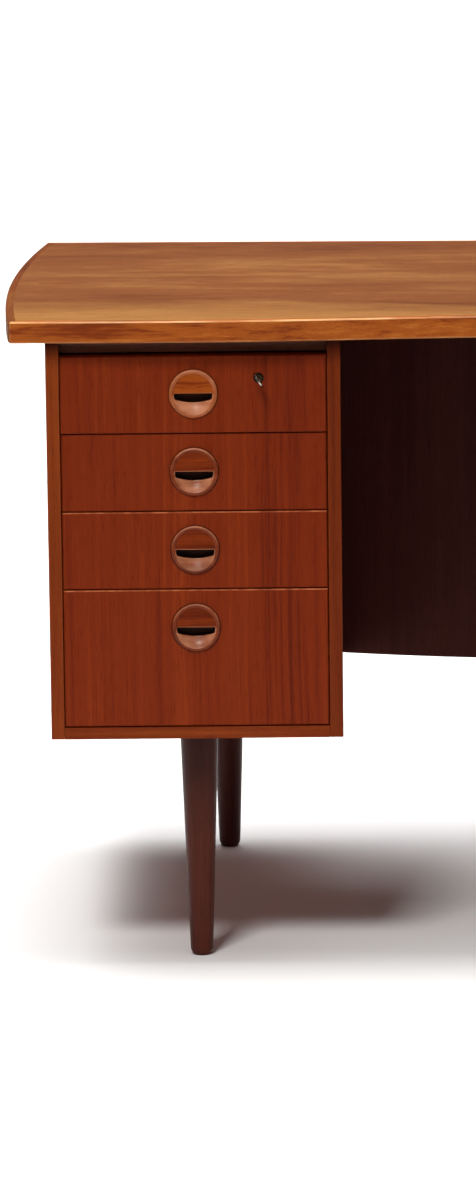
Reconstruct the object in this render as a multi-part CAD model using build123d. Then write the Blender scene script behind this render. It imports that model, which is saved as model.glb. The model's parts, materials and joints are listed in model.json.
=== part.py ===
from build123d import *

import math
import os

# Writing desk with two drawer pedestals, legs and a bowed top. Millimetres, +Z up.
# The origin is on the floor, under the middle of the desktop. -Y is the sitter's side.

# ---- overall size ----
DESK_HEIGHT = 730.0
DESK_DEPTH = 740.0
TOP_THICKNESS = 24.0
TOP_ARRIS = 1.8
TOP_CORNER_RADIUS = 6.0

# ---- outline of the desktop: bowed splayed ends, front edge swept back over the kneehole ----
FRONT_CORNER_X = 646.0
BACK_CORNER_X = 667.0
END_BOW = 19.0
SWEEP_START_X = 520.0
SWEEP_DEPTH = 37.5
LIPPING_WIDTH = 9.0

# ---- pedestals: boxes turned a little towards the sitter. X and Y are the middle of the front ----
PEDESTAL_X = 446.0
PEDESTAL_Y = -341.0
PEDESTAL_TURN = 2.5
PEDESTAL_WIDTH = 324.0
PEDESTAL_DEPTH = 682.0
PEDESTAL_BOTTOM_Z = 260.0
SIDE_THICKNESS = 15.0
BACK_THICKNESS = 12.0
BOTTOM_THICKNESS = 13.0
SUBTOP_THICKNESS = 16.0
SUBTOP_SETBACK = 19.0
PANEL_ARRIS = 0.8

# ---- drawers, listed from the top one down ----
SHALLOW_HEIGHT = 85.8
DEEP_HEIGHT = 153.2
FRONT_HEIGHTS = [SHALLOW_HEIGHT, SHALLOW_HEIGHT, SHALLOW_HEIGHT, DEEP_HEIGHT]
DRAWER_NAMES = ["drawer_1", "drawer_2", "drawer_3", "drawer_4"]
CLOSED_SETBACKS = [0.0, 2.0, 1.3, 0.6]
FRONT_GAP = 1.2
LOWEST_FRONT_Z = 274.2
FRONT_SIDE_GAP = 0.8
FRONT_THICKNESS = 18.0
FRONT_ARRIS = 1.3
BOX_SIDE_GAP = 1.0
BOX_SIDE_THICKNESS = 12.0
BOX_DEPTH = 631.0
BOX_LIFT = 5.0
BOX_TOP_DROP = 11.0
BOX_BACK_DROP = 6.0
BOX_BOTTOM_THICKNESS = 4.0
BOX_BOTTOM_LIFT = 6.0
BOX_BOTTOM_TONGUE = 5.0

# ---- wooden runners in grooves along the drawer sides ----
RUNNER_DEPTH = 6.0
RUNNER_HEIGHT = 10.0
RUNNER_START = 54.0
RUNNER_END = 661.0
RUNNER_CLEARANCE = 0.4
GROOVE_DEPTH = 6.0
GROOVE_START = 50.0

# ---- round pulls: a turned cup with a scoop below and a finger pocket that runs up behind a lid ----
PULL_DROP = 42.4
PULL_RADIUS = 26.5
PULL_PROUD = 3.2
PULL_RIM_FILLET = 1.5
CUP_RADIUS = 23.4
CUP_DEPTH = 14.5
CUP_CLEARANCE = 0.1
SCOOP_RADIUS = 21.5
SCOOP_DEPTH = 8.5
LID_THICKNESS = 3.4
LID_LIP_Z = 0.5
POCKET_RADIUS = 20.5
POCKET_BOTTOM_Z = -9.5
POCKET_TOP_Z = 13.0
POCKET_FLOOR = 1.5

# ---- drawer locks ----
LOCK_OFFSET_X = 72.0
LOCK_DROP = 25.4
BARREL_RADIUS = 5.5
BARREL_PROUD = 1.4
BARREL_CLEARANCE = 0.05
PLUG_RADIUS = 3.6
PLUG_CLEARANCE = 0.05
PLUG_LENGTH = 22.0
PLUG_END_GAP = 0.2
LOCK_CASE_WIDTH = 36.0
LOCK_CASE_HEIGHT = 34.0
LOCK_CASE_DEPTH = 11.0
LOCK_CASE_TOP_Z = 686.5
BOLT_WIDTH = 20.0
BOLT_THICKNESS = 5.0
BOLT_HEIGHT = 14.0
BOLT_CLEARANCE = 0.4
BOLT_STRIKE_DEPTH = 9.0
BOLT_TOP_Z = 687.5
KEY_BOW_RADIUS = 9.5
KEY_HOLE_RADIUS = 3.0
KEY_THICKNESS = 2.0
KEY_REACH = 17.0
KEY_BLADE_HEIGHT = 4.6
KEY_INSERTION = 16.0
KEY_LEAN = 32.0

# ---- legs, set square with the desk ----
LEG_X = 448.0
LEG_Y = 279.0
LEG_TOP_RADIUS = 21.3
LEG_FOOT_RADIUS = 12.7
FOOT_CHAMFER_IN = 2.6
FOOT_CHAMFER_UP = 6.0
PLATE_SIZE = 52.0
PLATE_THICKNESS = 3.0
PLATE_CORNER = 8.0
STUD_RADIUS = 4.0
STUD_IN_LEG = 30.0
STUD_IN_PANEL = 6.0
SCREW_RADIUS = 1.75
SCREW_HEAD_RADIUS = 3.2
SCREW_LENGTH = 10.0
SCREW_INSET = 6.5

# ---- curved modesty panel between the pedestals ----
MODESTY_THICKNESS = 12.0
MODESTY_MIDDLE_Y = 125.0
MODESTY_RADIUS = 1080.0
MODESTY_TENON = 6.0

UNDERSIDE_Z = DESK_HEIGHT - TOP_THICKNESS
HALF_WIDTH = PEDESTAL_WIDTH / 2
HALF_INNER = HALF_WIDTH - SIDE_THICKNESS
FAR = 1000.0


def block(x0, x1, y0, y1, z0, z1):
    """A box between two corners."""
    return Pos((x0 + x1) / 2, (y0 + y1) / 2, (z0 + z1) / 2) * Box(x1 - x0, y1 - y0, z1 - z0)


def on_front(shape, x, z, back=0.0):
    """Puts a shape made about the Y axis onto the pedestal's front, or back behind it."""
    return Pos(x, back, z) * shape


def y_cylinder(radius, y0, y1):
    """A cylinder along Y."""
    return Pos(0, (y0 + y1) / 2, 0) * Rot(90, 0, 0) * Cylinder(radius, y1 - y0)


def mirrored(shape, side):
    """A shape of the desk's left half as it is, or its mirror image in the right half."""
    if side == "left":
        return shape
    return mirror(shape, about=Plane.YZ)


def to_side(shape, side):
    """Moves a shape from the pedestal's own frame to the left or right pedestal."""
    return mirrored(Pos(-PEDESTAL_X, PEDESTAL_Y, 0) * Rot(0, 0, PEDESTAL_TURN) * shape, side)


def to_pedestal(shape):
    """Moves a shape from the desk's frame into the left pedestal's own frame."""
    return Rot(0, 0, -PEDESTAL_TURN) * Pos(PEDESTAL_X, -PEDESTAL_Y, 0) * shape


def write(name, shape):
    """Writes one named piece, or one group of like pieces."""
    if isinstance(shape, (list, tuple, ShapeList)):
        shape = Compound(children=list(shape))
    shape.label = name
    export_step(shape, os.path.join("parts", name + ".step"))


def front_bottoms():
    """Height of the lower edge of each drawer front, from the top drawer down."""
    heights = []
    z = LOWEST_FRONT_Z
    for height in reversed(FRONT_HEIGHTS):
        heights.insert(0, z)
        z += height + FRONT_GAP
    return heights


# ---- desktop ----
def top_outline(inset):
    """The plan of the desktop as a face, drawn in by inset."""
    half_depth = DESK_DEPTH / 2
    middle_x = (FRONT_CORNER_X + BACK_CORNER_X) / 2
    half_sweep_x = SWEEP_START_X / 2
    half_sweep_y = -half_depth + SWEEP_DEPTH / 2
    with BuildSketch() as plan:
        with BuildLine():
            for s in (-1, 1):
                Line((s * FRONT_CORNER_X, -half_depth), (s * SWEEP_START_X, -half_depth))
                TangentArc((s * SWEEP_START_X, -half_depth), (s * half_sweep_x, half_sweep_y), tangent=(-s, 0))
                TangentArc((0, -half_depth + SWEEP_DEPTH), (s * half_sweep_x, half_sweep_y), tangent=(s, 0))
                ThreePointArc(
                    (s * FRONT_CORNER_X, -half_depth),
                    (s * (middle_x + END_BOW), 0),
                    (s * BACK_CORNER_X, half_depth),
                )
            Line((-BACK_CORNER_X, half_depth), (BACK_CORNER_X, half_depth))
        make_face()
        if inset:
            offset(amount=-inset, kind=Kind.INTERSECTION)
    return plan.sketch


def make_desktop():
    """The veneered board inside the solid edge strips."""
    return Pos(0, 0, UNDERSIDE_Z) * extrude(top_outline(LIPPING_WIDTH), TOP_THICKNESS)


def make_lipping():
    """Four solid strips round the desktop, mitred at the corners."""
    slab = extrude(top_outline(0), TOP_THICKNESS)
    uprights = slab.edges().filter_by(Axis.Z).sort_by(lambda edge: -abs(edge.center().Y))
    slab = fillet(uprights[:4], TOP_CORNER_RADIUS)
    rims = slab.faces().sort_by(Axis.Z)[-1].edges() + slab.faces().sort_by(Axis.Z)[0].edges()
    slab = chamfer(rims, TOP_ARRIS)
    ring = Pos(0, 0, UNDERSIDE_Z) * (slab - extrude(top_outline(LIPPING_WIDTH), TOP_THICKNESS))
    half_depth = DESK_DEPTH / 2
    strips = []
    for s in (-1, 1):
        with BuildSketch() as end_region:
            with BuildLine():
                Polyline(
                    (s * (FRONT_CORNER_X + FAR), -half_depth - FAR),
                    (s * (FRONT_CORNER_X - 2 * LIPPING_WIDTH), -half_depth + 2 * LIPPING_WIDTH),
                    (s * (BACK_CORNER_X - 2 * LIPPING_WIDTH), half_depth - 2 * LIPPING_WIDTH),
                    (s * (BACK_CORNER_X + FAR), half_depth + FAR),
                    close=True,
                )
            make_face()
        region = extrude(end_region.sketch, DESK_HEIGHT)
        strips.append(ring & region)
        ring = ring - region
    pieces = []
    for shape in strips + [ring]:
        pieces.extend(shape.solids())
    return pieces


# ---- pedestal carcass, in the pedestal's own frame: +X towards the kneehole, Y back from its front ----
def soften_front(board):
    """Takes the sharp edge off a board where it shows at the front."""
    front_face = board.faces().sort_by(Axis.Y)[0]
    return chamfer(front_face.edges().filter_by(Axis.Z), PANEL_ARRIS)


def make_side(outer, modesty):
    """One side panel. The inner one is housed for the modesty panel."""
    x0 = -HALF_WIDTH if outer else HALF_INNER
    board = block(x0, x0 + SIDE_THICKNESS, 0, PEDESTAL_DEPTH, PEDESTAL_BOTTOM_Z, UNDERSIDE_Z)
    board = soften_front(board)
    if outer:
        return board
    return board - to_pedestal(modesty)


def make_pedestal_back():
    """The panel between the sides that closes the pedestal at the rear."""
    y0 = PEDESTAL_DEPTH - BACK_THICKNESS
    return block(-HALF_INNER, HALF_INNER, y0, PEDESTAL_DEPTH, PEDESTAL_BOTTOM_Z, UNDERSIDE_Z)


def make_pedestal_bottom():
    """The bottom board, with sockets for the ends of the leg studs and the plate screws."""
    z1 = PEDESTAL_BOTTOM_Z + BOTTOM_THICKNESS
    y1 = PEDESTAL_DEPTH - BACK_THICKNESS
    board = block(-HALF_INNER, HALF_INNER, 0, y1, PEDESTAL_BOTTOM_Z, z1)
    for y in (-LEG_Y, LEG_Y):
        board -= to_pedestal(leg_stud(y))
        for screw in plate_screws(y):
            board -= to_pedestal(screw)
    return board


def make_subtop():
    """The board under the desktop, set back behind the drawer fronts, with the strike for the lock bolt."""
    y1 = PEDESTAL_DEPTH - BACK_THICKNESS
    z0 = UNDERSIDE_Z - SUBTOP_THICKNESS
    board = block(-HALF_INNER, HALF_INNER, SUBTOP_SETBACK, y1, z0, UNDERSIDE_Z)
    gap = 2 * BOLT_CLEARANCE
    strike = Box(BOLT_WIDTH + gap, BOLT_THICKNESS + gap, BOLT_STRIKE_DEPTH)
    return board - on_front(strike, LOCK_OFFSET_X, z0 + BOLT_STRIKE_DEPTH / 2, bolt_back())


def make_runners():
    """Two wooden runners for each drawer, fixed to the pedestal's sides."""
    runners = []
    for z in runner_heights():
        for s in (-1, 1):
            x0, x1 = sorted((s * HALF_INNER, s * (HALF_INNER - RUNNER_DEPTH)))
            half = RUNNER_HEIGHT / 2
            runners.append(block(x0, x1, RUNNER_START, RUNNER_END, z - half, z + half))
    return runners


# ---- drawers ----
def box_range(index):
    """Lower and upper edge of a drawer's box sides."""
    z0 = front_bottoms()[index] + BOX_LIFT
    return z0, front_bottoms()[index] + FRONT_HEIGHTS[index] - BOX_TOP_DROP


def runner_heights():
    """Height of each drawer's runners: the middle of the drawer's box sides."""
    return [sum(box_range(index)) / 2 for index in range(len(FRONT_HEIGHTS))]


def make_front(index, locked):
    """The drawer front, bored for its pull and, on the top drawer, for its lock."""
    z0 = front_bottoms()[index]
    z1 = z0 + FRONT_HEIGHTS[index]
    half = HALF_INNER - FRONT_SIDE_GAP
    board = block(-half, half, 0, FRONT_THICKNESS, z0, z1)
    face = board.faces().sort_by(Axis.Y)[0]
    board = chamfer(face.edges(), FRONT_ARRIS)
    bore = y_cylinder(CUP_RADIUS + CUP_CLEARANCE, -FRONT_THICKNESS, CUP_DEPTH)
    board -= on_front(bore, 0, z1 - PULL_DROP)
    if locked:
        hole = y_cylinder(BARREL_RADIUS + BARREL_CLEARANCE, -FRONT_THICKNESS, 2 * FRONT_THICKNESS)
        board -= on_front(hole, LOCK_OFFSET_X, z1 - LOCK_DROP)
    return board


def make_frame(index):
    """Two grooved sides and a back, as three boards."""
    z0, z1 = box_range(index)
    half = HALF_INNER - BOX_SIDE_GAP
    inner = half - BOX_SIDE_THICKNESS
    panel_z = z0 + BOX_BOTTOM_LIFT
    groove_half = RUNNER_HEIGHT / 2 + RUNNER_CLEARANCE
    groove_z = runner_heights()[index]
    boards = []
    for s in (-1, 1):
        x0, x1 = sorted((s * half, s * inner))
        side = block(x0, x1, FRONT_THICKNESS, BOX_DEPTH, z0, z1)
        g0, g1 = sorted((s * PEDESTAL_WIDTH, s * (half - GROOVE_DEPTH)))
        side -= block(g0, g1, GROOVE_START, PEDESTAL_DEPTH, groove_z - groove_half, groove_z + groove_half)
        h0, h1 = sorted((0, s * (inner + BOX_BOTTOM_TONGUE)))
        side -= block(h0, h1, -FAR, FAR, panel_z, panel_z + BOX_BOTTOM_THICKNESS)
        boards.append(side)
    boards.append(
        block(
            -inner,
            inner,
            BOX_DEPTH - BOX_SIDE_THICKNESS,
            BOX_DEPTH,
            panel_z + BOX_BOTTOM_THICKNESS,
            z1 - BOX_BACK_DROP,
        )
    )
    return boards


def make_drawer_bottom(index):
    """The thin bottom panel, held in the grooves of the sides."""
    z0 = box_range(index)[0] + BOX_BOTTOM_LIFT
    half = HALF_INNER - BOX_SIDE_GAP - BOX_SIDE_THICKNESS + BOX_BOTTOM_TONGUE
    return block(-half, half, FRONT_THICKNESS, BOX_DEPTH, z0, z0 + BOX_BOTTOM_THICKNESS)


def make_pull():
    """A turned cup with a raised rim, a scoop for the fingertips and a pocket that they reach up into."""
    disc = y_cylinder(PULL_RADIUS, -PULL_PROUD, 0)
    rim = disc.edges().filter_by(GeomType.CIRCLE).sort_by(Axis.Y)[0]
    disc = fillet(rim, PULL_RIM_FILLET)
    pull = disc + y_cylinder(CUP_RADIUS, 0, CUP_DEPTH)
    sphere_radius = (SCOOP_RADIUS**2 + SCOOP_DEPTH**2) / (2 * SCOOP_DEPTH)
    scoop = Pos(0, SCOOP_DEPTH - PULL_PROUD - sphere_radius, 0) * Sphere(sphere_radius)
    scoop &= block(-FAR, FAR, -FAR, FAR, -FAR, LID_LIP_Z)
    floor_y = CUP_DEPTH - POCKET_FLOOR
    mouth = y_cylinder(POCKET_RADIUS, -FAR, floor_y) & block(-FAR, FAR, -FAR, FAR, POCKET_BOTTOM_Z, LID_LIP_Z)
    behind_lid = y_cylinder(POCKET_RADIUS, LID_THICKNESS - PULL_PROUD, floor_y)
    behind_lid &= block(-FAR, FAR, -FAR, FAR, POCKET_BOTTOM_Z, POCKET_TOP_Z)
    return pull - scoop - mouth - behind_lid


# ---- locks ----
def bolt_back():
    """How far the middle of the bolt lies behind the drawer's face."""
    return FRONT_THICKNESS + LOCK_CASE_DEPTH / 2


def lock_height():
    """Height of the lock's axis on the top drawer."""
    return front_bottoms()[0] + FRONT_HEIGHTS[0] - LOCK_DROP


def make_lock_case():
    """The lock's case behind the drawer front, open at the top for its bolt, with the barrel through the front."""
    z0 = lock_height() - LOCK_CASE_HEIGHT / 2
    case = Box(LOCK_CASE_WIDTH, LOCK_CASE_DEPTH, LOCK_CASE_TOP_Z - z0)
    case = on_front(case, LOCK_OFFSET_X, (z0 + LOCK_CASE_TOP_Z) / 2, bolt_back())
    barrel = y_cylinder(BARREL_RADIUS, -BARREL_PROUD, FRONT_THICKNESS)
    case += on_front(barrel, LOCK_OFFSET_X, lock_height())
    bore = y_cylinder(PLUG_RADIUS + PLUG_CLEARANCE, -FRONT_THICKNESS, PLUG_LENGTH - BARREL_PROUD + PLUG_END_GAP)
    case -= on_front(bore, LOCK_OFFSET_X, lock_height())
    gap = 2 * BOLT_CLEARANCE
    slot = Box(BOLT_WIDTH + gap, BOLT_THICKNESS + gap, BOLT_HEIGHT + BOLT_CLEARANCE)
    slot_z = BOLT_TOP_Z - (BOLT_HEIGHT + BOLT_CLEARANCE) / 2
    return case - on_front(slot, LOCK_OFFSET_X, slot_z, bolt_back())


def make_bolt():
    """The bolt, drawn in. It rises into the strike above."""
    bolt = Box(BOLT_WIDTH, BOLT_THICKNESS, BOLT_HEIGHT)
    return on_front(bolt, LOCK_OFFSET_X, BOLT_TOP_Z - BOLT_HEIGHT / 2, bolt_back())


def leaning(shape):
    """Turns the key, or what follows it, about the lock's axis."""
    return on_front(Rot(0, -KEY_LEAN, 0) * shape, LOCK_OFFSET_X, lock_height())


def key_blade():
    """The flat blade of the key inside the plug."""
    y1 = KEY_INSERTION - BARREL_PROUD
    return Pos(0, (y1 - KEY_REACH) / 2, 0) * Box(KEY_THICKNESS, y1 + KEY_REACH, KEY_BLADE_HEIGHT)


def make_plug():
    """The turning core of the lock, slotted for the key."""
    return leaning(y_cylinder(PLUG_RADIUS, -BARREL_PROUD, PLUG_LENGTH - BARREL_PROUD) - key_blade())


def make_key():
    """A small flat key with a round, pierced bow, standing a little askew in the lock."""
    bow = Pos(0, -KEY_REACH, 0) * Rot(0, 90, 0) * Cylinder(KEY_BOW_RADIUS, KEY_THICKNESS)
    eye = Pos(0, -KEY_REACH - KEY_HOLE_RADIUS, 0) * Rot(0, 90, 0) * Cylinder(KEY_HOLE_RADIUS, 2 * KEY_THICKNESS)
    return leaning(key_blade() + bow - eye)


# ---- legs, in the desk's frame, for the left half ----
def leg_stud(y):
    """The threaded stud that joins a leg to its plate."""
    z1 = PEDESTAL_BOTTOM_Z + STUD_IN_PANEL
    z0 = PEDESTAL_BOTTOM_Z - PLATE_THICKNESS - STUD_IN_LEG
    return Pos(-LEG_X, y, (z0 + z1) / 2) * Cylinder(STUD_RADIUS, z1 - z0)


def plate_screws(y):
    """Four countersunk screws at the corners of a leg plate."""
    screws = []
    reach = PLATE_SIZE / 2 - SCREW_INSET
    head_z = PEDESTAL_BOTTOM_Z - PLATE_THICKNESS
    for sx in (-1, 1):
        for sy in (-1, 1):
            shank = Pos(0, 0, SCREW_LENGTH / 2) * Cylinder(SCREW_RADIUS, SCREW_LENGTH)
            head_height = SCREW_HEAD_RADIUS - SCREW_RADIUS
            head = Pos(0, 0, head_height / 2) * Cone(SCREW_HEAD_RADIUS, SCREW_RADIUS, head_height)
            screws.append(Pos(sx * reach - LEG_X, y + sy * reach, head_z) * (shank + head))
    return screws


def make_leg(y):
    """A round leg, straight tapered, with an eased foot and a bore for its stud."""
    top_z = PEDESTAL_BOTTOM_Z - PLATE_THICKNESS
    with BuildSketch(Plane.XZ) as profile:
        with BuildLine():
            Polyline(
                (0, 0),
                (LEG_FOOT_RADIUS - FOOT_CHAMFER_IN, 0),
                (LEG_FOOT_RADIUS, FOOT_CHAMFER_UP),
                (LEG_TOP_RADIUS, top_z),
                (0, top_z),
                close=True,
            )
        make_face()
    leg = revolve(profile.sketch, Axis.Z)
    return Pos(-LEG_X, y, 0) * leg - leg_stud(y)


def make_plate(y):
    """A steel plate between the leg and the pedestal's bottom."""
    plate = extrude(RectangleRounded(PLATE_SIZE, PLATE_SIZE, PLATE_CORNER), PLATE_THICKNESS)
    plate = Pos(-LEG_X, y, PEDESTAL_BOTTOM_Z - PLATE_THICKNESS) * plate
    plate -= leg_stud(y)
    for screw in plate_screws(y):
        plate -= screw
    return plate


# ---- modesty panel, in the desk's frame ----
def modesty_half_length():
    """Half the panel's length, from the desk's middle to the bottom of its housing."""
    half = PEDESTAL_X - HALF_WIDTH
    end_y = MODESTY_MIDDLE_Y + MODESTY_RADIUS - math.sqrt(MODESTY_RADIUS**2 - half**2)
    return half + (end_y - PEDESTAL_Y) * math.tan(math.radians(PEDESTAL_TURN)) + MODESTY_TENON


def make_modesty_panel():
    """A panel bowed towards the sitter, its ends housed in the pedestals' inner sides."""
    ring = Circle(MODESTY_RADIUS) - Circle(MODESTY_RADIUS - MODESTY_THICKNESS)
    window = Pos(0, -MODESTY_RADIUS) * Rectangle(2 * modesty_half_length(), MODESTY_RADIUS)
    panel = extrude(ring & window, UNDERSIDE_Z - PEDESTAL_BOTTOM_Z)
    return Pos(0, MODESTY_MIDDLE_Y + MODESTY_RADIUS, PEDESTAL_BOTTOM_Z) * panel


def build_pedestal(side, modesty):
    """All the pieces of one pedestal but its drawers."""
    write(side + "_outer_side", to_side(make_side(True, modesty), side))
    write(side + "_inner_side", to_side(make_side(False, modesty), side))
    write(side + "_pedestal_back", to_side(make_pedestal_back(), side))
    write(side + "_pedestal_bottom", to_side(make_pedestal_bottom(), side))
    write(side + "_pedestal_subtop", to_side(make_subtop(), side))
    for place, y in (("front", -LEG_Y), ("rear", LEG_Y)):
        write(side + "_" + place + "_leg", mirrored(make_leg(y), side))


def build_drawers(side):
    """The four drawers of one pedestal, each pushed home as far as it goes, and the lock of the top one."""
    for index, name in enumerate(DRAWER_NAMES):
        base = side + "_" + name
        home = Pos(0, CLOSED_SETBACKS[index], 0)
        pull_z = front_bottoms()[index] + FRONT_HEIGHTS[index] - PULL_DROP
        write(base + "_front", to_side(home * make_front(index, index == 0), side))
        write(base + "_frame", [to_side(home * board, side) for board in make_frame(index)])
        write(base + "_bottom", to_side(home * make_drawer_bottom(index), side))
        write(base + "_pull", to_side(home * on_front(make_pull(), 0, pull_z), side))
    write(side + "_lock_case", to_side(make_lock_case(), side))
    write(side + "_lock_plug", to_side(make_plug(), side))
    write(side + "_lock_bolt", to_side(make_bolt(), side))
    write(side + "_lock_key", to_side(make_key(), side))


def build_shared():
    """Pieces of the whole desk, and the groups of small like pieces."""
    write("desktop_board", make_desktop())
    write("desktop_lipping", make_lipping())
    runners, plates, fixings = [], [], []
    for side in ("left", "right"):
        runners.extend(to_side(runner, side) for runner in make_runners())
        for y in (-LEG_Y, LEG_Y):
            plates.append(mirrored(make_plate(y), side))
            fixings.append(mirrored(leg_stud(y), side))
            fixings.extend(mirrored(screw, side) for screw in plate_screws(y))
    write("drawer_runners", runners)
    write("leg_plates", plates)
    write("leg_fixings", fixings)


os.makedirs("parts", exist_ok=True)
modesty_panel = make_modesty_panel()
write("modesty_panel", modesty_panel)
build_shared()
for pedestal_side in ("left", "right"):
    build_pedestal(pedestal_side, modesty_panel)
    build_drawers(pedestal_side)
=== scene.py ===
import json
import math
import random

import bmesh
import bpy
from mathutils import Matrix, Vector


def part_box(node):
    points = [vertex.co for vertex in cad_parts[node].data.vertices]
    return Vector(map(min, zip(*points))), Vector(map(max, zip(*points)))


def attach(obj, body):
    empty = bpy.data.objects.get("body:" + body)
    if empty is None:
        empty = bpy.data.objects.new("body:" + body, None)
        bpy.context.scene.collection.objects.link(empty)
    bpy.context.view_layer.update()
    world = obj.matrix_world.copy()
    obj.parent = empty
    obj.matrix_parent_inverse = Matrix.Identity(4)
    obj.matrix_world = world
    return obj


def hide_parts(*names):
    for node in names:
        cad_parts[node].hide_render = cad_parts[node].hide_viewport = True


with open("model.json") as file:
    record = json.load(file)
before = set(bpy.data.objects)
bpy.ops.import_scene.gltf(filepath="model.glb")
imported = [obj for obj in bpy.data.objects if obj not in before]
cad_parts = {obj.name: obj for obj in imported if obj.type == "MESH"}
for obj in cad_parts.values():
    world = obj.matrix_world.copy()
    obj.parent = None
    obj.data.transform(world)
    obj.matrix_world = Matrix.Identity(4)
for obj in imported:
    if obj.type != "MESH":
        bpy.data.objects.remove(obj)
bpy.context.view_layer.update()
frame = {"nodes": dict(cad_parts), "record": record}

SIDES = {"left": -1, "right": 1}
DRAWERS = ("drawer_1", "drawer_2", "drawer_3", "drawer_4")
BODY_OF = {node: body for body, nodes in frame["record"]["behaviour"]["bodies"].items() for node in nodes}
SLOT_OF = {part["node"]: part["material_slot"] for part in frame["record"]["subparts"]}
PEDESTAL_TURN = math.radians(2.5)


# ---------------------------------------------------------------- shader helpers
class Tree:
    """A short way to write a node material."""

    def __init__(self, name):
        self.material = bpy.data.materials.new(name)
        self.material.use_nodes = True
        self.nodes = self.material.node_tree.nodes
        self.links = self.material.node_tree.links
        self.shader = self.nodes["Principled BSDF"]

    def put(self, socket, value):
        """Links an output to a socket, or sets the socket's own value."""
        if isinstance(value, bpy.types.NodeSocket):
            self.links.new(value, socket)
        else:
            socket.default_value = value

    def node(self, kind, inputs=(), **settings):
        """Adds a node, with its settings and its input values or links."""
        made = self.nodes.new(kind)
        for key, value in settings.items():
            setattr(made, key, value)
        for key, value in dict(inputs).items():
            self.put(made.inputs[key], value)
        return made

    def attribute(self, name, output):
        return self.node("ShaderNodeAttribute", attribute_name=name).outputs[output]

    def math(self, operation, a, b=0.0, c=0.0, clamp=False):
        made = self.node("ShaderNodeMath", {0: a, 1: b, 2: c}, operation=operation, use_clamp=clamp)
        return made.outputs[0]

    def scaled(self, vector, scale):
        made = self.node("ShaderNodeVectorMath", {0: vector, 1: scale}, operation="MULTIPLY")
        return made.outputs[0]

    def added(self, a, b):
        return self.node("ShaderNodeVectorMath", {0: a, 1: b}, operation="ADD").outputs[0]

    def noise(self, vector, stretch, detail=3.0, roughness=0.5, distortion=0.0, output="Fac"):
        """Noise over the grain coordinates, stretched by cycles per metre along, across and deep."""
        inputs = {
            "Vector": self.scaled(vector, stretch),
            "Scale": 1.0,
            "Detail": detail,
            "Roughness": roughness,
            "Distortion": distortion,
        }
        return self.node("ShaderNodeTexNoise", inputs).outputs[output]

    def ramp(self, value, stops):
        """A colour ramp through (position, colour) stops."""
        made = self.node("ShaderNodeValToRGB", {"Fac": value})
        ramp = made.color_ramp
        ramp.interpolation = "EASE"
        ramp.elements[0].position, ramp.elements[0].color = stops[0][0], (*stops[0][1], 1.0)
        ramp.elements[1].position, ramp.elements[1].color = stops[-1][0], (*stops[-1][1], 1.0)
        for position, colour in stops[1:-1]:
            ramp.elements.new(position).color = (*colour, 1.0)
        return made.outputs["Color"]

    def span(self, value, low, high, to_low=0.0, to_high=1.0):
        inputs = {"Value": value, "From Min": low, "From Max": high, "To Min": to_low, "To Max": to_high}
        return self.node("ShaderNodeMapRange", inputs, clamp=True).outputs["Result"]

    def mix(self, factor, a, b, blend="MIX"):
        made = self.node("ShaderNodeMix", data_type="RGBA", blend_type=blend)
        self.put(made.inputs["Factor"], factor)
        for key, value in ((6, a), (7, b)):
            if not isinstance(value, bpy.types.NodeSocket):
                value = (*value, 1.0)
            self.put(made.inputs[key], value)
        return made.outputs[2]

    def bump(self, height, distance, strength):
        inputs = {"Height": height, "Distance": distance, "Strength": strength}
        self.put(self.shader.inputs["Normal"], self.node("ShaderNodeBump", inputs).outputs[0])


# The desktop's paler band along the sitter's edge, partly paler veneer and partly painted light:
# where it lies along Y, how far its border wanders and how strongly it shows.
PALE_BAND_FULL_Y = -0.33
PALE_BAND_END_Y = -0.19
PALE_BAND_WANDER = 0.30
PALE_BAND_SHIFT = 0.28
PALE_BAND_COVER = 0.55

# How strongly each layer of the wood shows.
TONE_SHIFT = 0.22
FIBRE_SHADE = 0.22
PORE_DEPTH = 0.45
PORE_DARKNESS = 0.55
# How dark the painted shade gets in the pull's pocket and on the line round the pull.
PAINTED_SHADE_DARKNESS = 0.12
# How dark the painted shade gets at the top of side panels and legs.
TOP_SHADE_DARKNESS = 0.25
PORE_ROUGHNESS = 0.16
GRAIN_RELIEF = 0.00018


def darker(colour, share):
    """A colour with each channel cut to a share of itself."""
    return [channel * share for channel in colour]


def pale_band_mask(t, grain):
    """Where the desktop's paler band lies along the sitter's edge, with a wandering border; partly paler
    veneer, partly painted light.
    """
    place = t.node("ShaderNodeTexCoord").outputs["Object"]
    depth = t.node("ShaderNodeSeparateXYZ", {"Vector": place}).outputs["Y"]
    wander = t.noise(grain, (2.4, 9.0, 9.0), detail=3.0, distortion=0.6)
    border = t.math("MULTIPLY_ADD", t.math("SUBTRACT", wander, 0.5), PALE_BAND_WANDER, depth)
    return t.span(border, PALE_BAND_FULL_Y, PALE_BAND_END_Y, 1.0, 0.0)


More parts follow.
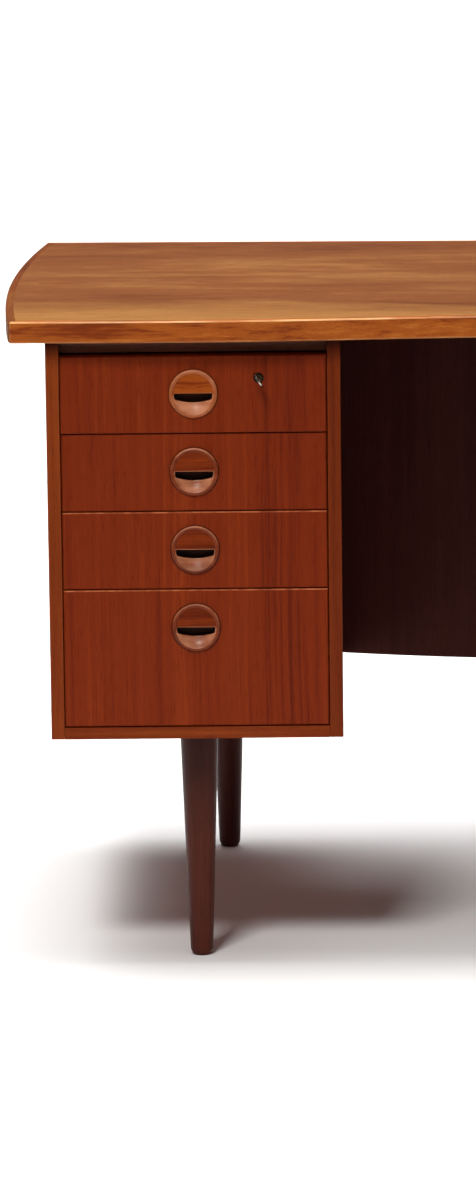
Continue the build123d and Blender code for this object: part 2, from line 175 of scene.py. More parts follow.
def wood(name, dark, middle, light, figure=(1.3, 30.0, 30.0), cloud=0.25, contrast=1.0, rough=0.4,
         specular=0.12, wear=None, streak=None, drift_width=0.022, streak_share=0.38, pale_band_colour=None,
         painted_top_shade=None):
    """Oiled wood. Attribute grain runs (along, across, deep) in metres and tone shifts one board.

    Attribute arris marks edges rubbed pale by hands and faces with a painted highlight; soil marks painted
    shade.
    pale_band_colour is the colour of the paler band along the desktop's sitter's edge: partly paler veneer,
    partly painted light.
    painted_top_shade gives the heights between which painted shade darkens the wood towards its top, and how
    much of it there is at the top.
    """
    t = Tree(name)
    grain = t.attribute("grain", "Vector")
    tone = t.attribute("tone", "Fac")
    arris = t.attribute("arris", "Fac")
    soil = t.attribute("soil", "Fac")
    drift = t.noise(grain, (1.6, 5.0, 5.0), detail=2.0, output="Color")
    drift = t.scaled(t.added(drift, (-0.5, -0.5, -0.5)), (0.0, drift_width, drift_width))
    bent = t.added(grain, drift)
    bands = t.noise(bent, figure, detail=5.0, roughness=0.56, distortion=0.5)
    streak = streak or (figure[0] * 0.8, figure[1] * 5.0, figure[2] * 5.0)
    streaks = t.noise(bent, streak, detail=4.0, roughness=0.6)
    clouds = t.noise(grain, (1.7, 6.5, 6.5), detail=3.0, roughness=0.5, distortion=0.8)
    fibres = t.noise(bent, (14.0, 1300.0, 1300.0), detail=2.0, roughness=0.5)
    ticks = t.noise(grain, (55.0, 1500.0, 1500.0), detail=1.0)
    pores = t.span(ticks, 0.60, 0.70)
    value = t.math("MULTIPLY_ADD", bands, 1.0 - streak_share, t.math("MULTIPLY", streaks, streak_share))
    value = t.math("MULTIPLY_ADD", t.math("SUBTRACT", value, 0.5), contrast * 1.9, 0.5)
    value = t.math("MULTIPLY_ADD", t.math("SUBTRACT", clouds, 0.5), cloud * 2.0, value)
    value = t.math("MULTIPLY_ADD", tone, TONE_SHIFT, value)
    # The paler band along the desktop's sitter's edge: partly paler veneer, partly painted light.
    if pale_band_colour:
        pale_band = pale_band_mask(t, grain)
        value = t.math("MULTIPLY_ADD", pale_band, PALE_BAND_SHIFT, value)
    colour = t.ramp(value, [(0.12, dark), (0.52, middle), (0.9, light)])
    if pale_band_colour:
        colour = t.mix(t.math("MULTIPLY", pale_band, PALE_BAND_COVER), colour, pale_band_colour)
    colour = t.mix(t.math("MULTIPLY", t.span(fibres, 0.35, 0.7), FIBRE_SHADE), colour, middle, "MULTIPLY")
    colour = t.mix(t.math("MULTIPLY", pores, PORE_DEPTH), colour, darker(dark, PORE_DARKNESS))
    # Pale colour for edges rubbed by hands and for painted highlights.
    worn = wear or [min(1.0, channel * 1.5 + 0.02) for channel in light]
    arris_patches = t.span(t.noise(grain, (16.0, 90.0, 90.0), detail=3.0), 0.38, 0.62, 0.25, 0.8)
    colour = t.mix(t.math("MULTIPLY", arris, arris_patches, clamp=True), colour, worn)
    # Painted shade where the soil attribute marks it: in the pull's pocket and on the line round the pull.
    colour = t.mix(soil, colour, darker(dark, PAINTED_SHADE_DARKNESS))
    # Painted shade: darker towards the top, for the shade under the desktop and under the pedestals.
    if painted_top_shade:
        place = t.node("ShaderNodeTexCoord").outputs["Object"]
        height = t.node("ShaderNodeSeparateXYZ", {"Vector": place}).outputs["Z"]
        top_shade = t.span(height, painted_top_shade[0], painted_top_shade[1], 0.0, painted_top_shade[2])
        colour = t.mix(top_shade, colour, darker(dark, TOP_SHADE_DARKNESS))
    t.put(t.shader.inputs["Base Color"], colour)
    fibre_sheen = t.span(fibres, 0.3, 0.7, rough - 0.05, rough + 0.07)
    sheen = t.math("MULTIPLY_ADD", pores, PORE_ROUGHNESS, fibre_sheen)
    patches = t.span(t.noise(grain, (5.0, 7.0, 7.0), detail=2.0), 0.35, 0.65, -0.04, 0.05)
    t.put(t.shader.inputs["Roughness"], t.math("ADD", sheen, patches, clamp=True))
    t.shader.inputs["Specular IOR Level"].default_value = specular
    relief = t.math("SUBTRACT", t.math("MULTIPLY", fibres, 0.35), t.math("MULTIPLY", pores, 0.8))
    t.bump(relief, GRAIN_RELIEF, 0.4)
    return t.material


def metal(name, colour, stain, rough, scratch=0.3):
    """Worn metal with fine scratches and a little tarnish in patches."""
    t = Tree(name)
    place = t.node("ShaderNodeTexCoord").outputs["Object"]
    tarnish = t.span(t.noise(place, (260.0, 260.0, 260.0), detail=4.0), 0.42, 0.68)
    lines = t.noise(place, (4200.0, 500.0, 500.0), detail=2.0)
    t.put(t.shader.inputs["Base Color"], t.mix(tarnish, colour, stain))
    t.put(t.shader.inputs["Roughness"], t.span(lines, 0.3, 0.7, rough, rough + scratch * 0.5))
    t.shader.inputs["Metallic"].default_value = 1.0
    t.bump(lines, 0.00004, scratch)
    return t.material


def make_floor_material():
    """Plain pale floor with the faintest mottling."""
    t = Tree("pale_floor")
    place = t.node("ShaderNodeTexCoord").outputs["Object"]
    mottle = t.noise(place, (1.3, 1.3, 1.3), detail=3.0)
    t.put(t.shader.inputs["Base Color"], t.mix(mottle, (0.89, 0.89, 0.89), (0.92, 0.92, 0.915)))
    t.shader.inputs["Roughness"].default_value = 0.75
    t.shader.inputs["Specular IOR Level"].default_value = 0.2
    return t.material


MATERIALS = {
    "teak_top": wood("oiled_teak_top", (0.128, 0.036, 0.012), (0.188, 0.061, 0.019), (0.262, 0.106, 0.032),
                     figure=(4.5, 12.0, 12.0), streak=(15.0, 105.0, 105.0), cloud=0.6, contrast=0.95,
                     rough=0.55, specular=0.06, drift_width=0.05, streak_share=0.45,
                     # Paler band along the sitter's edge: partly paler veneer, partly painted light.
                     pale_band_colour=(0.36, 0.172, 0.048)),
    "teak_lipping": wood("oiled_teak_lipping",
                         (0.21, 0.035, 0.005), (0.38, 0.090, 0.011), (0.52, 0.165, 0.024),
                         figure=(7.0, 70.0, 70.0), cloud=0.9, contrast=1.35, rough=0.5, specular=0.1,
                         streak=(30.0, 260.0, 260.0), wear=(0.70, 0.40, 0.17)),
    "teak_front": wood("oiled_teak_front", (0.115, 0.011, 0.002), (0.200, 0.023, 0.003), (0.26, 0.036, 0.005),
                       figure=(0.6, 20.0, 20.0), cloud=0.2, contrast=1.05, rough=0.5, specular=0.08,
                       streak=(1.2, 150.0, 150.0), streak_share=0.5, wear=(0.55, 0.15, 0.05)),
    "teak_side": wood("oiled_teak_side", (0.105, 0.013, 0.002), (0.180, 0.026, 0.0035), (0.26, 0.048, 0.007),
                      figure=(0.9, 40.0, 40.0), cloud=0.2, contrast=0.8, rough=0.45, specular=0.08,
                      # Painted shade on the top of the side panels, under the desktop's overhang.
                      painted_top_shade=(0.687, 0.701, 0.95)),
    "teak_panel": wood("oiled_teak_panel", (0.10, 0.016, 0.005), (0.18, 0.032, 0.009), (0.26, 0.055, 0.015),
                       figure=(0.8, 20.0, 20.0), cloud=0.2, contrast=0.8, rough=0.5),
    "teak_pull": wood("turned_teak_pull", (0.12, 0.016, 0.003), (0.20, 0.030, 0.005), (0.34, 0.070, 0.009),
                      figure=(6.0, 110.0, 110.0), cloud=0.2, contrast=1.1, rough=0.30, specular=0.17,
                      streak=(8.0, 420.0, 420.0), wear=(0.62, 0.25, 0.13)),
    "teak_leg": wood("turned_teak_leg", (0.033, 0.0065, 0.0035), (0.066, 0.012, 0.006), (0.10, 0.020, 0.010),
                     figure=(1.2, 50.0, 50.0), cloud=0.25, contrast=0.8, rough=0.42,
                     # Painted shade on the upper half of the legs, under the pedestals.
                     painted_top_shade=(0.13, 0.262, 0.6)),
    "beech": wood("plain_beech", (0.42, 0.26, 0.14), (0.56, 0.38, 0.22), (0.66, 0.48, 0.30),
                  figure=(1.5, 45.0, 45.0), cloud=0.15, contrast=0.6, rough=0.55),
    "plywood": wood("thin_plywood", (0.40, 0.24, 0.12), (0.52, 0.35, 0.19), (0.62, 0.45, 0.27),
                    figure=(1.2, 14.0, 14.0), cloud=0.3, contrast=0.7, rough=0.6),
    "steel": metal("zinc_steel", (0.42, 0.42, 0.44), (0.25, 0.24, 0.23), 0.38),
    "brass": metal("worn_brass", (0.17, 0.115, 0.05), (0.06, 0.04, 0.02), 0.26),
    "nickel": metal("nickel_key", (0.40, 0.33, 0.28), (0.07, 0.055, 0.045), 0.14, scratch=0.15),
}
LOCK_STEEL = metal("oil_black_lock_steel", (0.040, 0.034, 0.028), (0.014, 0.011, 0.009), 0.28)
END_TEAK = wood("oiled_teak_end_strip", (0.100, 0.022, 0.006), (0.160, 0.042, 0.011), (0.220, 0.074, 0.018),
                figure=(7.0, 70.0, 70.0), cloud=0.5, contrast=0.9, rough=0.55, specular=0.06)
# A pale grey-brown teak for the subtop's edge: a painted haze of light in the shaded recess under the
# desktop.
PAINTED_HAZE_SUBTOP_TEAK = wood("subtop_teak_painted_haze", (0.16, 0.07, 0.05), (0.26, 0.12, 0.09), (0.36, 0.18, 0.14),
                  figure=(0.9, 40.0, 40.0), cloud=0.2, contrast=0.8, rough=0.7, specular=0.06)
LID_TEAK = wood("turned_teak_lid", (0.115, 0.014, 0.0025), (0.20, 0.028, 0.004), (0.36, 0.074, 0.008),
                figure=(6.0, 110.0, 110.0), cloud=0.2, contrast=1.1, rough=0.45, specular=0.06,
                streak=(8.0, 420.0, 420.0), wear=(0.62, 0.25, 0.13))
# The kneehole panel's teak is much darker than the pedestals': painted shade for the deep shade under the
# desktop.
KNEEHOLE_SHADED_TEAK = wood("kneehole_teak_painted_shade", (0.036, 0.008, 0.0065), (0.066, 0.015, 0.011), (0.10, 0.024, 0.016),
                     figure=(0.8, 20.0, 20.0), cloud=0.2, contrast=0.8, rough=0.6, specular=0.1)


# ---------------------------------------------------------------- mesh helpers
def link(name, mesh):
    made = bpy.data.objects.new(name, mesh)
    bpy.context.scene.collection.objects.link(made)
    return made


def node_bmesh(node):
    """A welded copy of a CAD node's mesh, in the frame."""
    source = frame["nodes"][node]
    bm = bmesh.new()
    bm.from_mesh(source.data)
    bm.transform(source.matrix_world)
    bmesh.ops.remove_doubles(bm, verts=bm.verts, dist=1e-6)
    return bm


def is_flat(group):
    """Whether all the faces of a group lie in one plane, as a joint between two solids does."""
    normals = [face.normal for face in group]
    return all(abs(normals[0].dot(normal)) > 0.999 for normal in normals)


def islands(bm):
    """The faces of each separate solid, lowest corner first.

    The walk stops where two solids touch, and the flat faces of such a joint are left out.
    """
    bm.normal_update()
    left = set(bm.faces)
    groups = []
    while left:
        seed = left.pop()
        group, front = {seed}, [seed]
        while front:
            face = front.pop()
            for edge in face.edges:
                if len(edge.link_faces) != 2:
                    continue
                for other in edge.link_faces:
                    if other in left:
                        left.discard(other)
                        group.add(other)
                        front.append(other)
        if not is_flat(group):
            groups.append(group)

    def corner(group):
        points = [vert.co for face in group for vert in face.verts]
        return tuple(round(min(point[axis] for point in points), 4) for axis in (2, 1, 0))

    return sorted(groups, key=corner)


def split_bmeshes(bm):
    """One bmesh for each separate solid, closed again where it was cut from its neighbour."""
    pieces = []
    for group in islands(bm):
        part = bmesh.new()
        made = {}
        for face in group:
            verts = []
            for vert in face.verts:
                if vert not in made:
                    made[vert] = part.verts.new(vert.co)
                verts.append(made[vert])
            part.faces.new(verts)
        cut_edges = [edge for edge in part.edges if edge.is_boundary]
        if cut_edges:
            bmesh.ops.holes_fill(part, edges=cut_edges, sides=0)
        pieces.append(part)
    bm.free()
    return pieces


def oblique(normal):
    """Whether a face's normal lies well away from every axis, as a chamfer's does."""
    first, second = sorted((abs(part) for part in normal), reverse=True)[:2]
    return second > 0.45 and first < 0.9


SHARP_ANGLE = math.radians(28)
FLAT_ANGLE = math.radians(0.2)


def ease_edges(bm, width, segments=3, side_wear=1.0, top_wear=1.0):
    """Joins flat facets, rounds every sharp edge and marks the rounded faces as arris.

    Edges that face up are rubbed pale and lit with a painted highlight per top_wear; others per side_wear.
    """
    bmesh.ops.dissolve_limit(bm, angle_limit=FLAT_ANGLE, verts=bm.verts, edges=bm.edges)
    arris = bm.faces.layers.float.new("arris")
    edges = [edge for edge in bm.edges if edge.is_manifold and edge.calc_face_angle(0.0) > SHARP_ANGLE]
    if width > 0 and edges:
        made = bmesh.ops.bevel(bm, geom=edges, offset=width, offset_type="OFFSET", segments=segments,
                               profile=0.5, affect="EDGES", clamp_overlap=True)
        rounded = set(made["faces"])
    else:
        rounded = set()
    for face in bm.faces:
        if face in rounded or oblique(face.normal):
            # Faces that face up are painted paler by top_wear, as rubbing and as a painted highlight.
            face[arris] = top_wear if face.normal.z > 0.4 else side_wear


GRAIN_AXES = {"x": (0, 1, 2), "y": (1, 0, 2), "z": (2, 0, 1)}


def lay_grain(mesh, axis, offset, tone, turn=0.0):
    """Writes the grain coordinates and the board's own tone. turn rotates the board's plan about Z first."""
    order = GRAIN_AXES[axis]
    spin = Matrix.Rotation(-turn, 3, "Z")
    grain = mesh.attributes.new("grain", "FLOAT_VECTOR", "POINT")
    values = []
    for vert in mesh.vertices:
        place = spin @ vert.co
        values.extend((place[order[0]] + offset[0], place[order[1]] + offset[1], place[order[2]] + offset[2]))
    grain.data.foreach_set("vector", values)
    shade = mesh.attributes.new("tone", "FLOAT", "POINT")
    shade.data.foreach_set("value", [tone] * len(mesh.vertices))


def finish_piece(bm, name, nodes, axis, seed, tone=None, material=None, turn=0.0, offset=None):
    """Turns a bmesh into a piece that stands for CAD nodes, with its grain, material, slot and body."""
    rng = random.Random(seed)
    if offset is None:
        offset = tuple(rng.uniform(-20.0, 20.0) for _ in range(3))
    if tone is None:
        tone = rng.uniform(-0.6, 0.6)
    if "arris" not in bm.faces.layers.float:
        bm.faces.layers.float.new("arris")
    bmesh.ops.recalc_face_normals(bm, faces=bm.faces)
    mesh = bpy.data.meshes.new(name)
    bm.to_mesh(mesh)
    bm.free()
    lay_grain(mesh, axis, offset, tone, turn)
    mesh.shade_smooth()
    piece = link(name, mesh)
    slot = SLOT_OF[nodes[0]]
    piece.data.materials.append(material or MATERIALS[slot])
    piece.modifiers.new("even_shading", "WEIGHTED_NORMAL").keep_sharp = False
    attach(piece, BODY_OF[nodes[0]])
    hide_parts(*nodes)


# How far each kind of edge is rounded.
BOARD_ROUND = 0.0008
LIPPING_ROUND = 0.0009
PANEL_ROUND = 0.0007
THIN_ROUND = 0.0005
DRAWER_BOTTOM_ROUND = 0.0003
CASE_ROUND = 0.0003
PLUG_ROUND = 0.0002
BOLT_ROUND = 0.0004
KEY_ROUND = 0.0003
PLATE_ROUND = 0.0004


def boards_from(node, axis, seed, width=BOARD_ROUND, side_wear=1.0, top_wear=1.0, **options):
    """Every solid of a CAD node as its own board with eased edges."""
    parts = split_bmeshes(node_bmesh(node))
    for index, part in enumerate(parts):
        ease_edges(part, width, side_wear=side_wear, top_wear=top_wear)
        name = node + "_wood" if len(parts) == 1 else "%s_wood_%d" % (node, index + 1)
        finish_piece(part, name, [node], axis, "%s %d" % (seed, index), **options)


# ---------------------------------------------------------------- desktop
def make_desktop():
    boards_from("desktop_board", "x", "desktop", width=0.0, tone=0.0)
    strips = split_bmeshes(node_bmesh("desktop_lipping"))
    for index, strip in enumerate(strips):
        xs = [vert.co.x for vert in strip.verts]
        ys = [vert.co.y for vert in strip.verts]
        axis = "x" if max(xs) - min(xs) > max(ys) - min(ys) else "y"
        # The long strips' up-facing edges are rubbed pale and given a painted highlight; the end strips'
        # hardly.
        ease_edges(strip, LIPPING_ROUND, side_wear=0.3, top_wear=1.0 if axis == "x" else 0.1)
        finish_piece(strip, "desktop_edge_strip_%d" % (index + 1), ["desktop_lipping"], axis,
                     "lipping %d" % index, tone=0.1, material=None if axis == "x" else END_TEAK)


# ---------------------------------------------------------------- pedestals
def make_pedestals():
    for side in SIDES:
        boards_from(side + "_outer_side", "z", side + " outer", width=PANEL_ROUND, side_wear=0.3, tone=1.3)
        boards_from(side + "_inner_side", "z", side + " inner", width=PANEL_ROUND, side_wear=0.15, tone=-0.2)
        boards_from(side + "_pedestal_back", "z", side + " back", tone=0.0)
        boards_from(side + "_pedestal_bottom", "x", side + " bottom", width=THIN_ROUND, tone=0.2)
        # The subtop's edge takes the pale grey-brown teak, as a painted haze of light.
        boards_from(side + "_pedestal_subtop", "x", side + " subtop", tone=0.0, material=PAINTED_HAZE_SUBTOP_TEAK)
    # The kneehole panel takes the darker teak, as painted shade.
    boards_from("modesty_panel", "z", "modesty", tone=-0.3, material=KNEEHOLE_SHADED_TEAK)
    boards_from("drawer_runners", "y", "runners", width=THIN_ROUND)


# ---------------------------------------------------------------- drawers
# How pale each front's top edge is painted, from the top drawer down: rubbed pale and a painted highlight,
# kept off the top two fronts, which lie in shade.
FRONT_TOP_WEAR_AND_HIGHLIGHT = (0.0, 0.1, 1.2, 1.2)


def make_drawers():
    for side, sign in SIDES.items():
        rng = random.Random(side + " veneer")
        veneer = (rng.uniform(0, 9), rng.uniform(0, 9), rng.uniform(0, 9))
        for index, drawer in enumerate(DRAWERS):
            base = side + "_" + drawer
            boards_from(base + "_front", "z", base, width=THIN_ROUND, side_wear=0.0, tone=0.0, offset=veneer,
                        top_wear=FRONT_TOP_WEAR_AND_HIGHLIGHT[index], turn=-sign * PEDESTAL_TURN)
            boards_from(base + "_frame", "y", base + " frame", width=PANEL_ROUND)
            boards_from(base + "_bottom", "x", base + " bottom", width=DRAWER_BOTTOM_ROUND)


# ---------------------------------------------------------------- pulls
PULL_SEGMENTS = 120
PULL_RADIUS = 0.0265
PULL_PROUD = 0.0032
PULL_CUP_RADIUS = 0.0234
PULL_CUP_DEPTH = 0.0145
RIM_INNER_RADIUS = 0.0222
RIM_HALF = (PULL_RADIUS - RIM_INNER_RADIUS) / 2
RIM_SINK = 0.0010
RIM_CREST_SHARE = 0.8
RIM_INNER_ROUND = 0.0015
RIM_OUTER_ROUND = 0.0020
RIM_FOOT_WIDTH = 0.0001
RIM_FOOT_SINK = 0.0008
# Painted highlight on the rim's upper arc, paler where its faces turn up.
RIM_TOP_HIGHLIGHT = 1.6
SCOOP_DEPTH = 0.0085
SCOOP_STEPS = 8
LID_SINK = 0.0012
LID_THICKNESS = 0.0022
LID_LIP_Z = 0.0005
LID_LIP_ROUND = 0.0007
LID_LIP_WEAR = 0.8
LID_CLEARANCE = 0.00005
LID_STEPS = 48
POCKET_RADIUS = 0.0211
POCKET_TOP_Z = 0.013
POCKET_LOW_Z = -0.0102
POCKET_EDGE_RADIUS = 0.053
POCKET_FLOOR_Y = 0.0130
POCKET_FLOOR_ROUND = 0.0008
# Painted shade on the pocket's floor and wall.
POCKET_FLOOR_SHADE = 0.8
POCKET_WALL_SHADE = 0.75
MOUTH_DEPTH = 0.0006
MOUTH_ROUND = 0.0002
MOUTH_WEAR = 0.4
# Painted shade at the pocket's mouth.
MOUTH_SHADE = 0.3
# A painted shadow line round the pull: its width and how dark it is.
SHADOW_RING_WIDTH = 0.0011
SHADOW_RING_SHADE = 0.6
# Radius and depth of the pull's hidden side and of the painted shadow line round it, from its rim to its
# back.
PULL_SKIRT = ((PULL_RADIUS, -0.0004), (PULL_RADIUS + SHADOW_RING_WIDTH, -0.00015), (PULL_RADIUS, -0.00002),
              (PULL_CUP_RADIUS, -0.00002), (PULL_CUP_RADIUS, PULL_CUP_DEPTH))
# The scoop is painted pale all over, as rubbing by fingertips and as a painted highlight.
FIRST_PULL = {"tone": 1.8, "rim_wear": 0.32, "scoop_wear_and_highlight": 1.35}
LOWER_PULLS = {"rim_wear": 0.02, "scoop_wear_and_highlight": 1.0}


def arc_points(centre, radius, start, end, count):
    """Points (radius, depth) on an arc."""
    points = []
    for step in range(count + 1):
        angle = math.radians(start + (end - start) * step / count)
        points.append((centre[0] + radius * math.cos(angle), centre[1] + radius * math.sin(angle)))
    return points


def ring_points(radii, depths):
    """A ring about the Y axis, with its own radius and depth in each direction."""
    points = []
    for step, (radius, depth) in enumerate(zip(radii, depths)):
        angle = math.tau * step / len(radii)
        points.append((radius * math.cos(angle), depth, radius * math.sin(angle)))
    return points


def loft(rings):
    """Skins rings of points into a mesh, and returns it with its bands of faces.

    A ring of one point is an end.
    """
    bm = bmesh.new()
    bm.faces.layers.float.new("arris")
    bm.faces.layers.float.new("soil")
    made = [[bm.verts.new(point) for point in ring] for ring in rings]
    bands = []
    for first, second in zip(made, made[1:]):
        count = max(len(first), len(second))
        band = []
        for step in range(count):
            after = (step + 1) % count
            corners = (first[step % len(first)], second[step % len(second)],
                       second[after % len(second)], first[after % len(first)])
            band.append(bm.faces.new(tuple(dict.fromkeys(corners))))
        bands.append(band)
    return bm, bands


def lathe(profile, segments):
    """Turns (radius, depth) points about the Y axis into a closed mesh.

    The first and last points are on the axis.
    """
    rings = []
    for radius, depth in profile:
        count = 1 if radius < 1e-7 else segments
        rings.append(ring_points([radius] * count, [depth] * count))
    return loft(rings)[0]


def pocket_reach(angle):
    """Distance from the pull's middle to the edge of its finger pocket, in one direction."""
    rise = math.sin(angle)
    if rise > 1e-6:
        return min(POCKET_RADIUS, POCKET_TOP_Z / rise)
    centre = POCKET_LOW_Z + POCKET_EDGE_RADIUS
    reach = centre * rise + math.sqrt(POCKET_EDGE_RADIUS**2 - (centre * math.cos(angle))**2)
    return min(POCKET_RADIUS, reach)


def scoop_y(angle, radius):
    """Depth of the pull's face inside its rim: a round scoop below, and a flat shelf for the lid above."""
    if RIM_INNER_RADIUS * math.sin(angle) > LID_LIP_Z:
        return LID_SINK + LID_THICKNESS - PULL_PROUD
    sphere = (RIM_INNER_RADIUS**2 + SCOOP_DEPTH**2) / (2 * SCOOP_DEPTH)
    return RIM_SINK - PULL_PROUD + SCOOP_DEPTH - sphere + math.sqrt(sphere**2 - radius**2)


def pull_cup(rim_wear, scoop_wear_and_highlight):
    """The turned cup: a rounded rim, a scoop for the fingertips and the pocket they reach into, darkened with
    painted shade.
    """
    angles = [math.tau * step / PULL_SEGMENTS for step in range(PULL_SEGMENTS)]
    edge = [pocket_reach(angle) for angle in angles]
    rings = [([(0.0, POCKET_FLOOR_Y, 0.0)], 0.0, POCKET_FLOOR_SHADE, 0.0)]

    def add(radii, depths, worn=0.0, soil=0.0, top_wear=0.0):
        rings.append((ring_points(radii, depths), worn, soil, top_wear))

    def add_round(radius, depth, **looks):
        add([radius] * PULL_SEGMENTS, [depth] * PULL_SEGMENTS, **looks)

    floor_edge = [radius - POCKET_FLOOR_ROUND for radius in edge]
    add(floor_edge, [POCKET_FLOOR_Y] * PULL_SEGMENTS, soil=POCKET_FLOOR_SHADE)
    add(edge, [POCKET_FLOOR_Y - POCKET_FLOOR_ROUND] * PULL_SEGMENTS, soil=POCKET_WALL_SHADE)
    mouth = [scoop_y(a, r) + MOUTH_DEPTH for a, r in zip(angles, edge)]
    add(edge, mouth, worn=MOUTH_WEAR, soil=MOUTH_SHADE)
    for step in range(SCOOP_STEPS + 1):
        share = step / SCOOP_STEPS
        radii = [r + MOUTH_ROUND + (RIM_INNER_RADIUS - r - MOUTH_ROUND) * share for r in edge]
        add(radii, [scoop_y(a, r) for a, r in zip(angles, radii)], worn=scoop_wear_and_highlight)

    inner_centre = (RIM_INNER_RADIUS + RIM_HALF * RIM_CREST_SHARE, RIM_INNER_ROUND - PULL_PROUD)
    outer_centre = (PULL_RADIUS - RIM_OUTER_ROUND, RIM_OUTER_ROUND - PULL_PROUD)
    rim = arc_points(inner_centre, RIM_INNER_ROUND, 200, 270, 7)
    rim += arc_points(outer_centre, RIM_OUTER_ROUND, 270, 355, 9)
    rim[0] = (RIM_INNER_RADIUS + RIM_FOOT_WIDTH, RIM_FOOT_SINK - PULL_PROUD)
    for radius, depth in rim:
        add_round(radius, depth, worn=rim_wear, top_wear=RIM_TOP_HIGHLIGHT)
    for radius, depth in PULL_SKIRT:
        add_round(radius, depth, soil=SHADOW_RING_SHADE)
    rings.append(([(0.0, PULL_CUP_DEPTH, 0.0)], 0.0, 0.0, 0.0))

    bm, bands = loft([ring[0] for ring in rings])
    bmesh.ops.recalc_face_normals(bm, faces=bm.faces)
    arris = bm.faces.layers.float["arris"]
    soiled = bm.faces.layers.float["soil"]
    for band, (_, worn, soil, top_wear) in zip(bands, rings):
        for face in band:
            # Faces that face up get a painted highlight on top of their rubbing.
            face[arris] = worn + top_wear * max(0.0, face.normal.z)
            # Painted shade in the pocket, at its mouth and on the line round the pull.
            face[soiled] = soil
    return bm


def pull_lid():
    """The half-round lid, its lower edge rounded."""
    radius = RIM_INNER_RADIUS - LID_CLEARANCE
    bm = bmesh.new()
    arris = bm.faces.layers.float.new("arris")
    start = math.asin(LID_LIP_Z / radius)
    outline = []
    for step in range(LID_STEPS + 1):
        angle = start + (math.pi - 2 * start) * step / LID_STEPS
        outline.append((radius * math.cos(angle), radius * math.sin(angle)))
    front_y = LID_SINK - PULL_PROUD
    front = [bm.verts.new((x, front_y, z)) for x, z in outline]
    back = [bm.verts.new((x, front_y + LID_THICKNESS, z)) for x, z in outline]
    bm.faces.new(front)
    bm.faces.new(list(reversed(back)))
    for step in range(len(outline)):
        after = (step + 1) % len(outline)
        bm.faces.new((front[step], back[step], back[after], front[after]))
    lip = [edge for edge in bm.edges if edge.calc_length() > radius]
    made = bmesh.ops.bevel(bm, geom=lip, offset=LID_LIP_ROUND, offset_type="OFFSET", segments=4, profile=0.5,
                           affect="EDGES", clamp_overlap=True)
    for face in made["faces"]:
        face[arris] = LID_LIP_WEAR
    return bm


def pull_place(node, sign):
    """Where a pull's own frame lies: on the drawer's face, at the middle of its cup."""
    low, high = (Vector(corner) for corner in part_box(node))
    middle = (low + high) / 2
    cup_reach = PULL_CUP_DEPTH * math.cos(PEDESTAL_TURN) + PULL_CUP_RADIUS * math.sin(PEDESTAL_TURN)
    place = Matrix.Translation((middle.x, high.y - cup_reach, middle.z))
    return place @ Matrix.Rotation(-sign * PEDESTAL_TURN, 4, "Z")


def make_pulls():
    for side, sign in SIDES.items():
        for drawer in DRAWERS:
            node = "%s_%s_pull" % (side, drawer)
            looks = FIRST_PULL if drawer == DRAWERS[0] else LOWER_PULLS
            tone = looks["tone"] if "tone" in looks else random.Random(node).uniform(-1.0, -0.3)
            cup = pull_cup(looks["rim_wear"], looks["scoop_wear_and_highlight"])
            for label, bm, material in (("cup", cup, None), ("lid", pull_lid(), LID_TEAK)):
                bm.transform(pull_place(node, sign))
                finish_piece(bm, "%s_%s" % (node, label), [node], "x", node + label, tone=tone,
                             material=material)


# ---------------------------------------------------------------- legs
LEG_SEGMENTS = 72
LEG_FOOT_RADIUS = 0.0127
# Each ease in steps: how far inside the full radius, and how far from the leg's end.
LEG_FOOT_EASE = ((0.0034, 0.0), (0.0026, 0.0006), (0.0004, 0.0052), (0.0, 0.0072))
LEG_SHOULDER_EASE = ((0.0, 0.0012), (0.0006, 0.0003), (0.0015, 0.0))
LEG_TAPER_TOP_GAP = 0.0015
LEG_TAPER_STEPS = 12


def make_leg(node):
    """A turned leg: straight taper, rounded shoulder at the top and eased foot."""
    low, high = (Vector(corner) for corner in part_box(node))
    top_radius = (high.x - low.x) / 2
    height = high.z - low.z
    taper_start = LEG_FOOT_EASE[-1][1]
    taper_height = height - taper_start - LEG_TAPER_TOP_GAP
    profile = [(0.0, 0.0)]
    profile += [(LEG_FOOT_RADIUS - inset, rise) for inset, rise in LEG_FOOT_EASE]
    for step in range(1, LEG_TAPER_STEPS):
        share = step / LEG_TAPER_STEPS
        radius = LEG_FOOT_RADIUS + (top_radius - LEG_FOOT_RADIUS) * share
        profile.append((radius, taper_start + taper_height * share))
    profile += [(top_radius - inset, height - drop) for inset, drop in LEG_SHOULDER_EASE]
    profile.append((0.0, height))
    bm = lathe(profile, LEG_SEGMENTS)
    middle = (low + high) / 2
    upright = Matrix.Translation((middle.x, middle.y, low.z)) @ Matrix.Rotation(math.radians(90), 4, "X")
    bm.transform(upright)
    finish_piece(bm, node + "_turned", [node], "z", node)


def make_legs():
    for side in SIDES:
        for place in ("front", "rear"):
            make_leg("%s_%s_leg" % (side, place))


# ---------------------------------------------------------------- locks and fixings
def metal_from(node, width, material=None):
    """A CAD node's metal as one piece with eased edges."""
    bm = node_bmesh(node)
    ease_edges(bm, width, segments=2)
    finish_piece(bm, node + "_metal", [node], "x", node, material=material)


def make_metalwork():
    for side in SIDES:
        metal_from(side + "_lock_case", CASE_ROUND, LOCK_STEEL)
        metal_from(side + "_lock_plug", PLUG_ROUND)
        metal_from(side + "_lock_bolt", BOLT_ROUND)
        metal_from(side + "_lock_key", KEY_ROUND)
    metal_from("leg_plates", PLATE_ROUND)
    metal_from("leg_fixings", 0.0)


# ---------------------------------------------------------------- stage
# The camera's place in metres, its turns in radians and its lens in millimetres.
CAMERA_PLACE = (-0.036, -6.707, 1.565)
CAMERA_YAW = 0.0570
CAMERA_PITCH = 0.1783
CAMERA_ROLL = -0.0120
CAMERA_LENS = 176.08


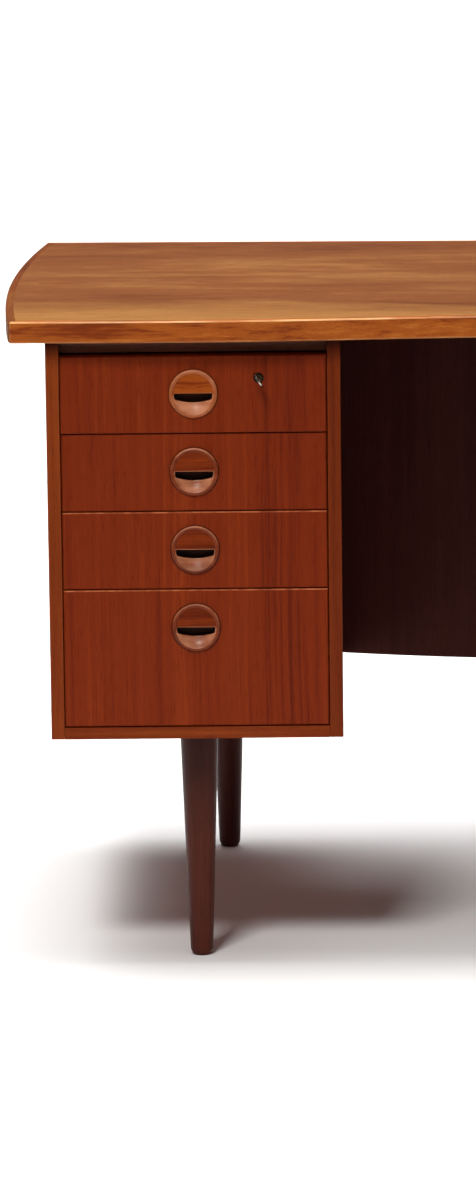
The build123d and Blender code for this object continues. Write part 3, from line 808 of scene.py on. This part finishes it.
def make_camera():
    data = bpy.data.cameras.new("camera")
    data.lens = CAMERA_LENS
    data.sensor_width = 36.0
    data.sensor_fit = "AUTO"
    data.clip_end = 200.0
    camera = link("camera", data)
    ahead = Vector((-math.sin(CAMERA_YAW) * math.cos(CAMERA_PITCH),
                    math.cos(CAMERA_YAW) * math.cos(CAMERA_PITCH),
                    -math.sin(CAMERA_PITCH)))
    level = Vector((math.cos(CAMERA_YAW), math.sin(CAMERA_YAW), 0.0))
    down = ahead.cross(level)
    across = level * math.cos(CAMERA_ROLL) - down * math.sin(CAMERA_ROLL)
    turned_down = level * math.sin(CAMERA_ROLL) + down * math.cos(CAMERA_ROLL)
    turn = Matrix((across, -turned_down, -ahead)).transposed()
    camera.matrix_world = Matrix.Translation(CAMERA_PLACE) @ turn.to_4x4()
    bpy.context.scene.camera = camera


def softbox(name, place, aim, size, power, tint=(1.0, 1.0, 1.0), spread=180.0):
    data = bpy.data.lights.new(name, "AREA")
    data.shape = "RECTANGLE"
    data.size, data.size_y = size
    data.energy = power
    data.color = tint
    data.spread = math.radians(spread)
    lamp = link(name, data)
    lamp.location = place
    lamp.rotation_euler = (Vector(aim) - Vector(place)).to_track_quat("-Z", "Y").to_euler()


FLOOR_NEAR_Y = -2.0
FLOOR_FAR_Y = 20.0
FLOOR_HALF_WIDTH = 7.0
SOFT_LIGHT = 0.12


def make_floor():
    bm = bmesh.new()
    bmesh.ops.create_grid(bm, x_segments=8, y_segments=8, size=1.0)
    mesh = bpy.data.meshes.new("floor")
    bm.transform(Matrix.Diagonal((FLOOR_HALF_WIDTH, (FLOOR_FAR_Y - FLOOR_NEAR_Y) / 2, 1.0, 1.0)))
    bm.to_mesh(mesh)
    bm.free()
    floor = link("floor", mesh)
    floor.location.y = (FLOOR_FAR_Y + FLOOR_NEAR_Y) / 2
    floor.data.materials.append(make_floor_material())


def make_lights():
    """Three softboxes, and a world that is a dim soft light but looks white to the camera."""
    softbox("ceiling", (0.0, 13.0, 7.0), (0.0, 13.0, 0.0), (20.0, 28.0), 3100.0, spread=70.0)
    softbox("overhead", (0.0, -0.8, 3.6), (0.0, -0.2, 0.0), (2.8, 1.2), 30.0)
    softbox("key", (-1.2, -3.2, 4.0), (-0.2, -0.3, 0.45), (1.1, 0.9), 128.0, (1.0, 0.985, 0.96))
    world = bpy.data.worlds.new("studio")
    world.use_nodes = True
    nodes, links = world.node_tree.nodes, world.node_tree.links
    soft_light = nodes["Background"]
    soft_light.inputs["Color"].default_value = (1.0, 1.0, 1.0, 1.0)
    soft_light.inputs["Strength"].default_value = SOFT_LIGHT
    backdrop = nodes.new("ShaderNodeBackground")
    backdrop.inputs["Color"].default_value = (1.0, 1.0, 1.0, 1.0)
    seen = nodes.new("ShaderNodeMixShader")
    links.new(nodes.new("ShaderNodeLightPath").outputs["Is Camera Ray"], seen.inputs[0])
    links.new(soft_light.outputs[0], seen.inputs[1])
    links.new(backdrop.outputs[0], seen.inputs[2])
    links.new(seen.outputs[0], nodes["World Output"].inputs["Surface"])
    bpy.context.scene.world = world
    bpy.context.scene.view_settings.view_transform = "Standard"


make_camera()
make_floor()
make_lights()
make_desktop()
make_pedestals()
make_drawers()
make_pulls()
make_legs()
make_metalwork()
